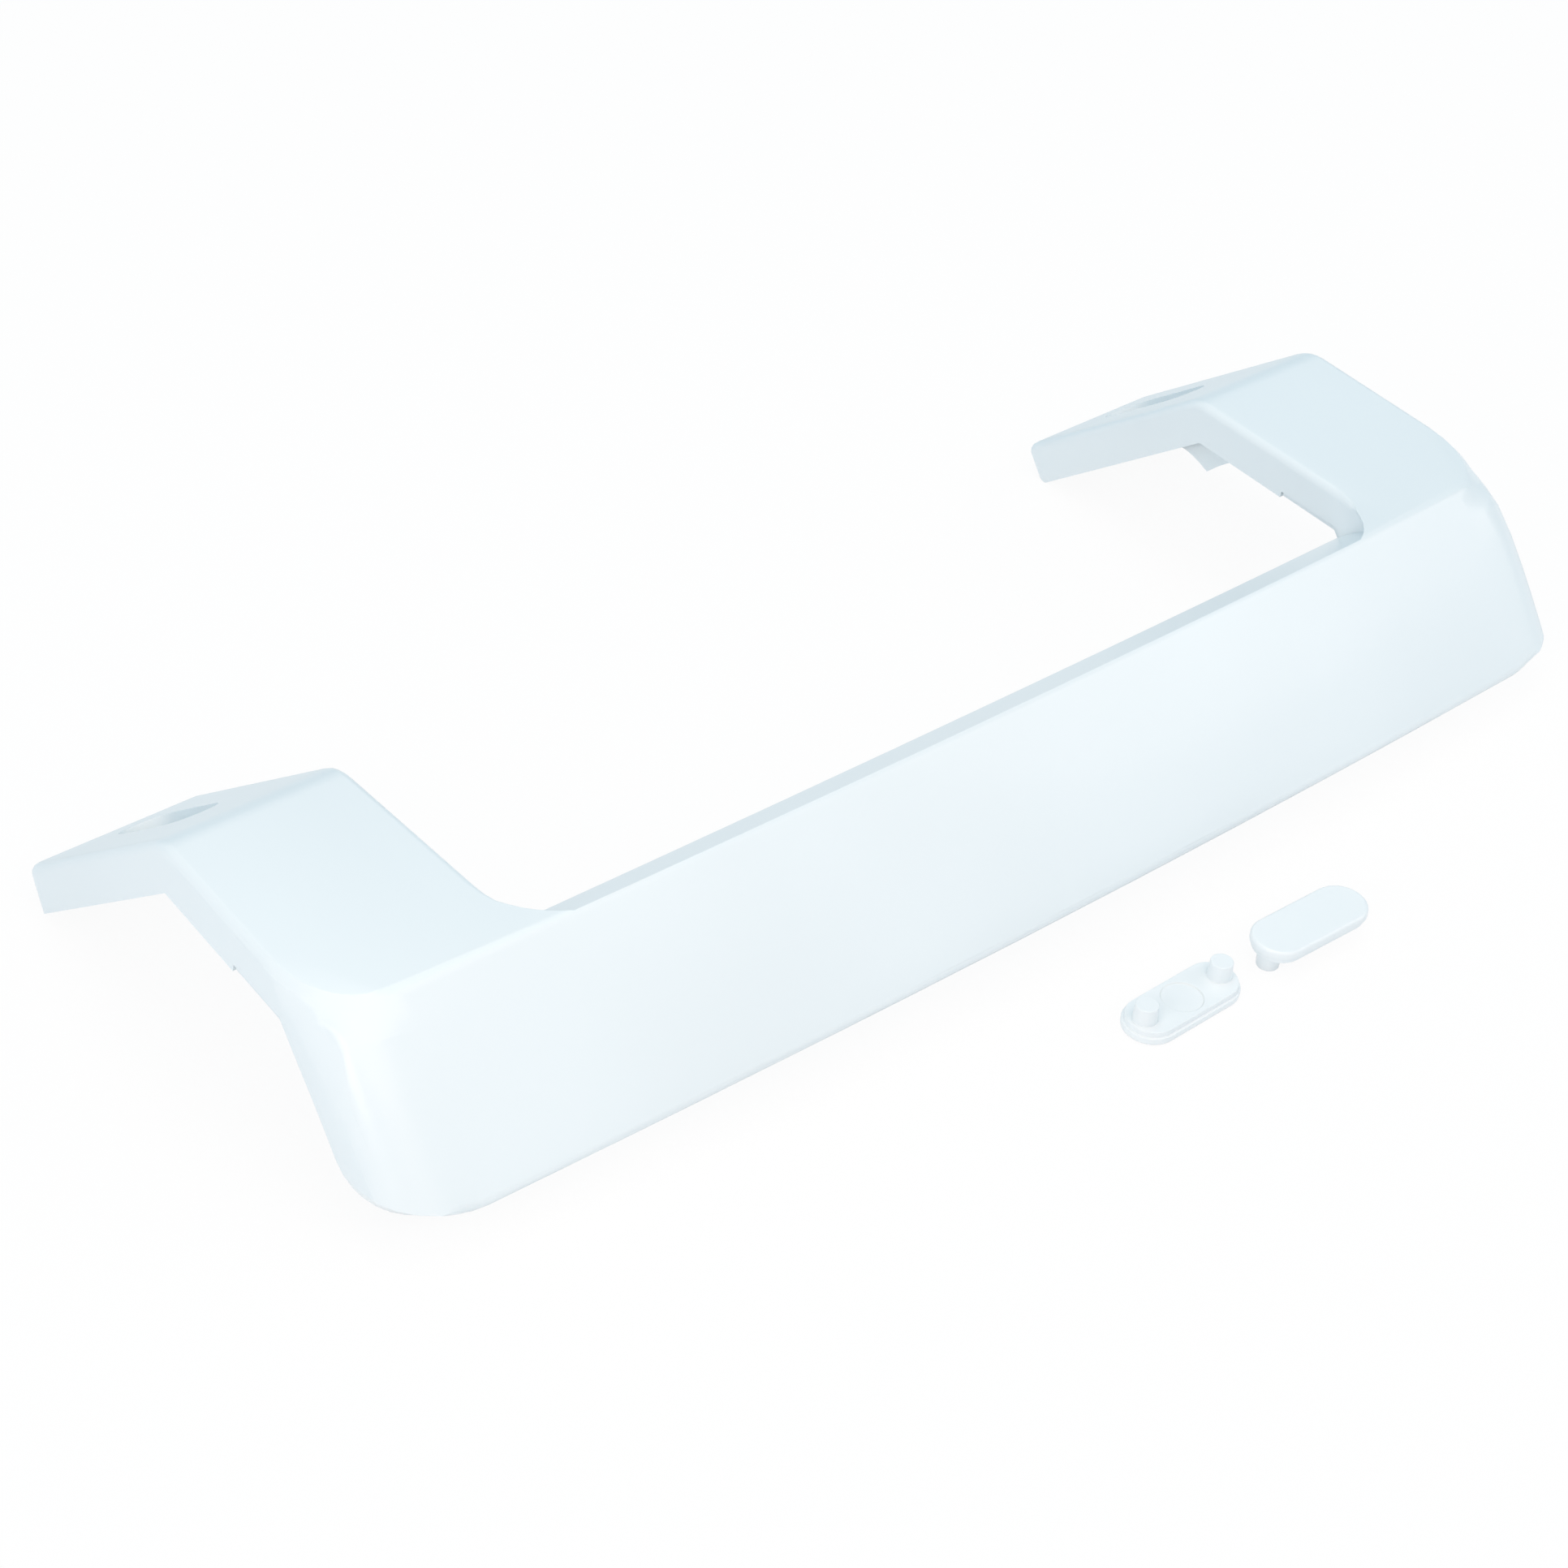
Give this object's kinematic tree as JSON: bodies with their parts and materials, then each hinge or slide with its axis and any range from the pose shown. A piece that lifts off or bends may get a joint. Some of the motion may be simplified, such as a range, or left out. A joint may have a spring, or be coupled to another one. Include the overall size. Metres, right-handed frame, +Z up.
{
  "type": "refrigerator door handle",
  "caption": "White moulded arch handle for a refrigerator door, with a clip-in back cover and loose screw caps lying beside it.",
  "frame": {"origin": "on the surface the taken-off handle rests on, under the centre of the box around the handle and its caps", "axes": "+X along the bar, +Y from the bar towards the tips of the two screw feet, +Z up from the surface"},
  "size_m": [0.3106, 0.159, 0.0461],
  "materials": {
    "shell": "glossy, cool white",
    "cover": "glossy, cool white",
    "cap_upturned": "glossy, cool white",
    "cap_upright": "glossy, cool white"
  },
  "bodies": {
    "root": {"handle_shell": "shell", "back_cover": "cover", "screw_cap_upturned": "cap_upturned", "screw_cap_upright": "cap_upright"}
  },
  "joints": []
}
